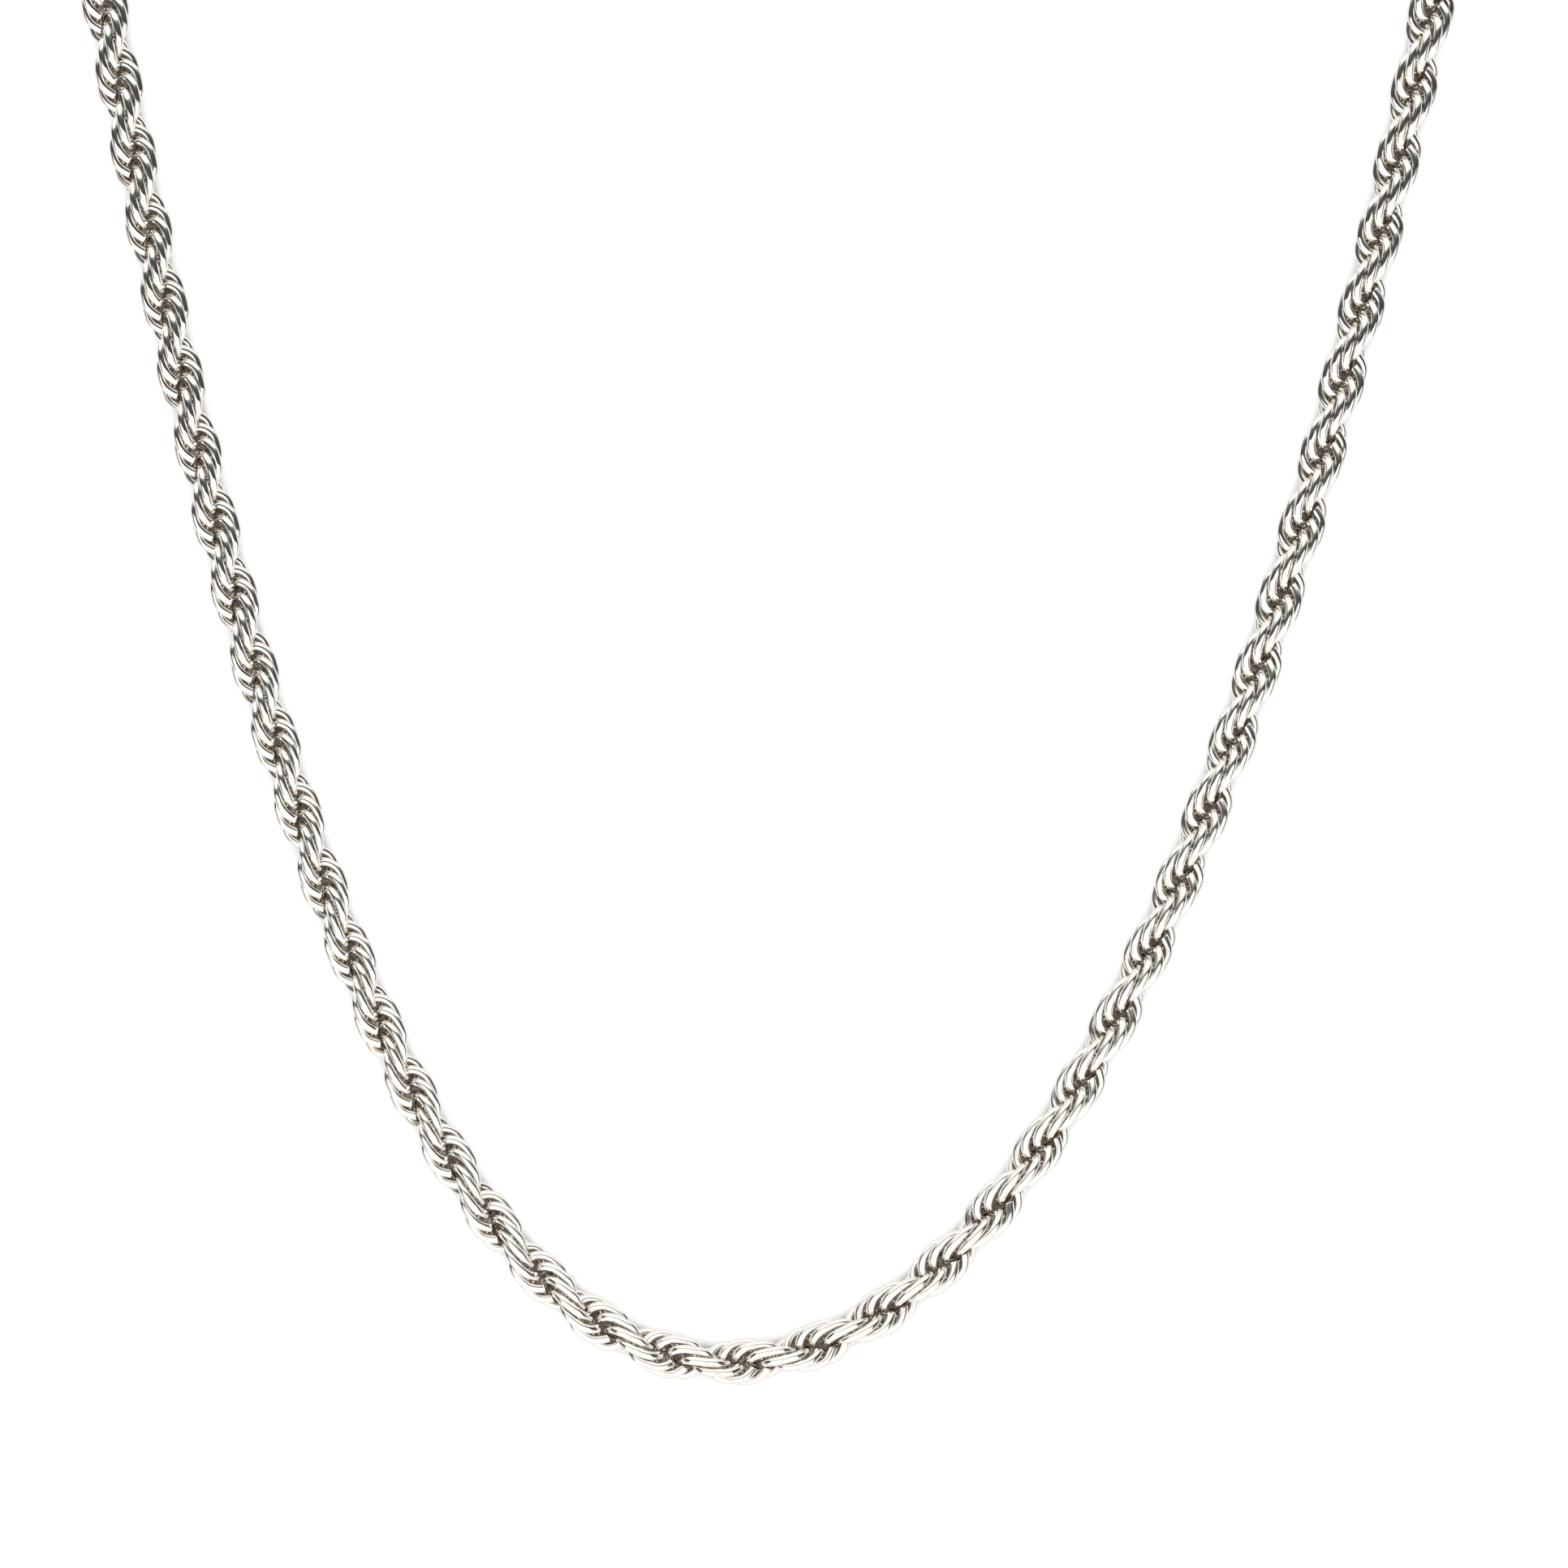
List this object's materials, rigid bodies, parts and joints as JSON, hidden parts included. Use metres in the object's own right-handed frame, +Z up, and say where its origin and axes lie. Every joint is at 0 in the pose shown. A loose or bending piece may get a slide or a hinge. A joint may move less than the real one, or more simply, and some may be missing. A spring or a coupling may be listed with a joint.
{
  "type": "rope chain necklace",
  "caption": "Rope chain necklace of interlinked oval wire links in a deep front curve, with crimped end caps and a sprung lobster clasp lying open at the back.",
  "frame": {"origin": "centre of the necklace's box on the table that it lies on", "axes": "+Y from the front of the chain to the clasp, +X to the right, +Z up off the table"},
  "size_m": [0.1627, 0.2433, 0.0057],
  "materials": {
    "polished_silver": "high polish silver",
    "spring_steel": "drawn spring steel"
  },
  "bodies": {
    "front": {"front_section": "polished_silver"},
    "left_01": {"left_section_01": "polished_silver"},
    "left_02": {"left_section_02": "polished_silver"},
    "left_03": {"left_section_03": "polished_silver"},
    "left_04": {"left_section_04": "polished_silver"},
    "left_05": {"left_section_05": "polished_silver"},
    "left_06": {"left_section_06": "polished_silver"},
    "left_07": {"left_section_07": "polished_silver"},
    "left_08": {"left_section_08": "polished_silver"},
    "left_09": {"left_section_09": "polished_silver"},
    "left_10": {"left_section_10": "polished_silver"},
    "left_11": {"left_section_11": "polished_silver"},
    "left_12": {"left_section_12": "polished_silver"},
    "left_13": {"left_section_13": "polished_silver"},
    "left_14": {"left_section_14": "polished_silver"},
    "left_15": {"left_section_15": "polished_silver"},
    "left_16": {"left_section_16": "polished_silver"},
    "left_17": {"left_section_17": "polished_silver"},
    "left_18": {"left_section_18": "polished_silver"},
    "left_19": {"left_section_19": "polished_silver"},
    "left_20": {"left_section_20": "polished_silver"},
    "left_21": {"left_section_21": "polished_silver"},
    "left_22": {"left_section_22": "polished_silver"},
    "left_23": {"left_section_23": "polished_silver"},
    "left_24": {"left_section_24": "polished_silver"},
    "left_25": {"left_section_25": "polished_silver", "end_cap_left": "polished_silver"},
    "right_01": {"right_section_01": "polished_silver"},
    "right_02": {"right_section_02": "polished_silver"},
    "right_03": {"right_section_03": "polished_silver"},
    "right_04": {"right_section_04": "polished_silver"},
    "right_05": {"right_section_05": "polished_silver"},
    "right_06": {"right_section_06": "polished_silver"},
    "right_07": {"right_section_07": "polished_silver"},
    "right_08": {"right_section_08": "polished_silver"},
    "right_09": {"right_section_09": "polished_silver"},
    "right_10": {"right_section_10": "polished_silver"},
    "right_11": {"right_section_11": "polished_silver"},
    "right_12": {"right_section_12": "polished_silver"},
    "right_13": {"right_section_13": "polished_silver"},
    "right_14": {"right_section_14": "polished_silver"},
    "right_15": {"right_section_15": "polished_silver"},
    "right_16": {"right_section_16": "polished_silver"},
    "right_17": {"right_section_17": "polished_silver"},
    "right_18": {"right_section_18": "polished_silver"},
    "right_19": {"right_section_19": "polished_silver"},
    "right_20": {"right_section_20": "polished_silver"},
    "right_21": {"right_section_21": "polished_silver"},
    "right_22": {"right_section_22": "polished_silver"},
    "right_23": {"right_section_23": "polished_silver"},
    "right_24": {"right_section_24": "polished_silver"},
    "right_25": {"right_section_25": "polished_silver", "end_cap_right": "polished_silver"},
    "clasp_ring": {"clasp_ring": "polished_silver"},
    "catch_ring": {"catch_ring": "polished_silver"},
    "clasp": {"clasp_body": "polished_silver", "clasp_rivet": "spring_steel", "clasp_spring": "spring_steel"},
    "lever": {"clasp_lever": "polished_silver"}
  },
  "joints": [
    {"name": "lever_turn", "type": "hinge", "parent": "clasp", "child": "lever", "pos_m": [-0.01447, 0.1196, 0.00285], "axis": [0, 0, -1], "range_deg": [0, 22], "stiffness_Nm_per_rad": 0.01, "springref_deg": -11.46, "deforming": ["clasp_spring"]},
    {"name": "clasp_swing", "type": "hinge", "parent": "clasp_ring", "child": "clasp", "pos_m": [-0.02056, 0.11769, 0.00285], "axis": [0, 0, 1], "range_deg": [-25, 25]},
    {"name": "clasp_ring_swing", "type": "hinge", "parent": "left_25", "child": "clasp_ring", "pos_m": [-0.02396, 0.11769, 0.00285], "axis": [0, 0, 1], "range_deg": [-25, 25]},
    {"name": "catch_ring_swing", "type": "hinge", "parent": "right_25", "child": "catch_ring", "pos_m": [0.02467, 0.11318, 0.00285], "axis": [0, 0, 1], "range_deg": [-25, 25]},
    {"name": "left_bend_01", "type": "hinge", "parent": "front", "child": "left_01", "pos_m": [-0.01055, -0.11841, 0.00285], "axis": [0, 0, 1], "range_deg": [-4, 4]},
    {"name": "right_bend_01", "type": "hinge", "parent": "front", "child": "right_01", "pos_m": [0.00076, -0.11855, 0.00285], "axis": [0, 0, 1], "range_deg": [-2, 2]},
    {"name": "left_bend_02", "type": "hinge", "parent": "left_01", "child": "left_02", "pos_m": [-0.02065, -0.11327, 0.00285], "axis": [-0.608, -0.794, 0], "range_deg": [-4.5, 4.5]},
    {"name": "right_bend_02", "type": "hinge", "parent": "right_01", "child": "right_02", "pos_m": [0.01123, -0.11418, 0.00285], "axis": [0.5305, -0.8477, 0], "range_deg": [-4.5, 4.5]},
    {"name": "left_bend_03", "type": "hinge", "parent": "left_02", "child": "left_03", "pos_m": [-0.02872, -0.10524, 0.00285], "axis": [0, 0, -1], "range_deg": [-4.5, 4.5]},
    {"name": "right_bend_03", "type": "hinge", "parent": "right_02", "child": "right_03", "pos_m": [0.02006, -0.10698, 0.00285], "axis": [0, 0, -1], "range_deg": [-3.5, 3.5]},
    {"name": "left_bend_04", "type": "hinge", "parent": "left_03", "child": "left_04", "pos_m": [-0.03518, -0.09584, 0.00285], "axis": [0.8599, 0.5105, 0], "range_deg": [-4.5, 4.5]},
    {"name": "right_bend_04", "type": "hinge", "parent": "right_03", "child": "right_04", "pos_m": [0.02737, -0.09823, 0.00285], "axis": [-0.8106, 0.5856, 0], "range_deg": [-5, 5]},
    {"name": "left_bend_05", "type": "hinge", "parent": "left_04", "child": "left_05", "pos_m": [-0.04052, -0.08576, 0.00285], "axis": [0, 0, 1], "range_deg": [-4, 4]},
    {"name": "right_bend_05", "type": "hinge", "parent": "right_04", "child": "right_05", "pos_m": [0.03354, -0.08864, 0.00285], "axis": [0, 0, 1], "range_deg": [-5, 5]},
    {"name": "left_bend_06", "type": "hinge", "parent": "left_05", "child": "left_06", "pos_m": [-0.04507, -0.07529, 0.00285], "axis": [-0.9286, -0.371, 0], "range_deg": [-4.5, 4.5]},
    {"name": "right_bend_06", "type": "hinge", "parent": "right_05", "child": "right_06", "pos_m": [0.03886, -0.07854, 0.00285], "axis": [0.9003, -0.4353, 0], "range_deg": [-5, 5]},
    {"name": "left_bend_07", "type": "hinge", "parent": "left_06", "child": "left_07", "pos_m": [-0.04904, -0.0646, 0.00285], "axis": [0, 0, -1], "range_deg": [-4.5, 4.5]},
    {"name": "right_bend_07", "type": "hinge", "parent": "right_06", "child": "right_07", "pos_m": [0.04353, -0.06813, 0.00285], "axis": [0, 0, -1], "range_deg": [-5, 5]},
    {"name": "left_bend_08", "type": "hinge", "parent": "left_07", "child": "left_08", "pos_m": [-0.05259, -0.05375, 0.00285], "axis": [0.9555, 0.2951, 0], "range_deg": [-4.5, 4.5]},
    {"name": "right_bend_08", "type": "hinge", "parent": "right_07", "child": "right_08", "pos_m": [0.04772, -0.05751, 0.00285], "axis": [-0.9372, 0.3487, 0], "range_deg": [-5, 5]},
    {"name": "left_bend_09", "type": "hinge", "parent": "left_08", "child": "left_09", "pos_m": [-0.05581, -0.0428, 0.00285], "axis": [0, 0, 1], "range_deg": [-5, 5]},
    {"name": "right_bend_09", "type": "hinge", "parent": "right_08", "child": "right_09", "pos_m": [0.05152, -0.04675, 0.00285], "axis": [0, 0, 1], "range_deg": [-5, 5]},
    {"name": "left_bend_10", "type": "hinge", "parent": "left_09", "child": "left_10", "pos_m": [-0.05876, -0.03177, 0.00285], "axis": [-0.9687, -0.2484, 0], "range_deg": [-5, 5]},
    {"name": "right_bend_10", "type": "hinge", "parent": "right_09", "child": "right_10", "pos_m": [0.05502, -0.03589, 0.00285], "axis": [0.9558, -0.294, 0], "range_deg": [-5, 5]},
    {"name": "left_bend_11", "type": "hinge", "parent": "left_10", "child": "left_11", "pos_m": [-0.06149, -0.02069, 0.00285], "axis": [0, 0, -1], "range_deg": [-5, 5]},
    {"name": "right_bend_11", "type": "hinge", "parent": "right_10", "child": "right_11", "pos_m": [0.05825, -0.02494, 0.00285], "axis": [0, 0, -1], "range_deg": [-4.5, 4.5]},
    {"name": "left_bend_12", "type": "hinge", "parent": "left_11", "child": "left_12", "pos_m": [-0.06405, -0.00957, 0.00285], "axis": [0.9762, 0.2169, 0], "range_deg": [-5, 5]},
    {"name": "right_bend_12", "type": "hinge", "parent": "right_11", "child": "right_12", "pos_m": [0.06127, -0.01394, 0.00285], "axis": [-0.9665, 0.2566, 0], "range_deg": [-5, 5]},
    {"name": "left_bend_13", "type": "hinge", "parent": "left_12", "child": "left_13", "pos_m": [-0.06645, 0.00159, 0.00285], "axis": [0, 0, 1], "range_deg": [-5, 5]},
    {"name": "right_bend_13", "type": "hinge", "parent": "right_12", "child": "right_13", "pos_m": [0.06412, -0.00288, 0.00285], "axis": [0, 0, 1], "range_deg": [-4.5, 4.5]},
    {"name": "left_bend_14", "type": "hinge", "parent": "left_13", "child": "left_14", "pos_m": [-0.06872, 0.01277, 0.00285], "axis": [-0.9809, -0.1943, 0], "range_deg": [-5, 5]},
    {"name": "right_bend_14", "type": "hinge", "parent": "right_13", "child": "right_14", "pos_m": [0.06681, 0.00821, 0.00285], "axis": [0.9733, -0.2296, 0], "range_deg": [-5, 5]},
    {"name": "left_bend_15", "type": "hinge", "parent": "left_14", "child": "left_15", "pos_m": [-0.07089, 0.02398, 0.00285], "axis": [0, 0, -1], "range_deg": [-5, 5]},
    {"name": "right_bend_15", "type": "hinge", "parent": "right_14", "child": "right_15", "pos_m": [0.06936, 0.01933, 0.00285], "axis": [0, 0, -1], "range_deg": [-5, 5]},
    {"name": "left_bend_16", "type": "hinge", "parent": "left_15", "child": "left_16", "pos_m": [-0.07296, 0.0352, 0.00285], "axis": [0.9841, 0.1774, 0], "range_deg": [-4.5, 4.5]},
    {"name": "right_bend_16", "type": "hinge", "parent": "right_15", "child": "right_16", "pos_m": [0.0718, 0.03048, 0.00285], "axis": [-0.9779, 0.2092, 0], "range_deg": [-5, 5]},
    {"name": "left_bend_17", "type": "hinge", "parent": "left_16", "child": "left_17", "pos_m": [-0.07494, 0.04644, 0.00285], "axis": [0, 0, 1], "range_deg": [-4.5, 4.5]},
    {"name": "right_bend_17", "type": "hinge", "parent": "right_16", "child": "right_17", "pos_m": [0.07414, 0.04165, 0.00285], "axis": [0, 0, 1], "range_deg": [-5, 5]},
    {"name": "left_bend_18", "type": "hinge", "parent": "left_17", "child": "left_18", "pos_m": [-0.07685, 0.0577, 0.00285], "axis": [-0.9864, -0.1642, 0], "range_deg": [-5, 5]},
    {"name": "right_bend_18", "type": "hinge", "parent": "right_17", "child": "right_18", "pos_m": [0.07639, 0.05284, 0.00285], "axis": [0.9812, -0.1932, 0], "range_deg": [-5, 5]},
    {"name": "left_bend_19", "type": "hinge", "parent": "left_18", "child": "left_19", "pos_m": [-0.07862, 0.06897, 0.00285], "axis": [0, 0, -1], "range_deg": [-3, 3]},
    {"name": "right_bend_19", "type": "hinge", "parent": "right_18", "child": "right_19", "pos_m": [0.07849, 0.06406, 0.00285], "axis": [0, 0, -1], "range_deg": [-5, 5]},
    {"name": "left_bend_20", "type": "hinge", "parent": "left_19", "child": "left_20", "pos_m": [-0.07835, 0.08035, 0.00285], "axis": [0.9882, -0.153, 0], "range_deg": [-4.5, 4.5]},
    {"name": "right_bend_20", "type": "hinge", "parent": "right_19", "child": "right_20", "pos_m": [0.0785, 0.07544, 0.00285], "axis": [-0.9915, -0.1299, 0], "range_deg": [-4.5, 4.5]},
    {"name": "left_bend_21", "type": "hinge", "parent": "left_20", "child": "left_21", "pos_m": [-0.07517, 0.09127, 0.00285], "axis": [0, 0, 1], "range_deg": [-3.5, 3.5]},
    {"name": "right_bend_21", "type": "hinge", "parent": "right_20", "child": "right_21", "pos_m": [0.07556, 0.08643, 0.00285], "axis": [0, 0, 1], "range_deg": [-3, 3]},
    {"name": "left_bend_22", "type": "hinge", "parent": "left_21", "child": "left_22", "pos_m": [-0.0693, 0.10102, 0.00285], "axis": [-0.783, 0.6221, 0], "range_deg": [-5, 5]},
    {"name": "right_bend_22", "type": "hinge", "parent": "right_21", "child": "right_22", "pos_m": [0.06985, 0.09628, 0.00285], "axis": [0.7921, 0.6104, 0], "range_deg": [-4.5, 4.5]},
    {"name": "left_bend_23", "type": "hinge", "parent": "left_22", "child": "left_23", "pos_m": [-0.06113, 0.10895, 0.00285], "axis": [0, 0, -1], "range_deg": [-5, 5]},
    {"name": "right_bend_23", "type": "hinge", "parent": "right_22", "child": "right_23", "pos_m": [0.06179, 0.1043, 0.00285], "axis": [0, 0, -1], "range_deg": [-3, 3]},
    {"name": "left_bend_24", "type": "hinge", "parent": "left_23", "child": "left_24", "pos_m": [-0.0512, 0.11451, 0.00285], "axis": [0.3725, -0.928, 0], "range_deg": [-5, 5]},
    {"name": "right_bend_24", "type": "hinge", "parent": "right_23", "child": "right_24", "pos_m": [0.05191, 0.10995, 0.00285], "axis": [-0.3783, -0.9257, 0], "range_deg": [-4.5, 4.5]},
    {"name": "left_bend_25", "type": "hinge", "parent": "left_24", "child": "left_25", "pos_m": [-0.04018, 0.11735, 0.00285], "axis": [0, 0, 1], "range_deg": [-5, 5]},
    {"name": "right_bend_25", "type": "hinge", "parent": "right_24", "child": "right_25", "pos_m": [0.0409, 0.11284, 0.00285], "axis": [0, 0, 1], "range_deg": [-3, 3]}
  ]
}
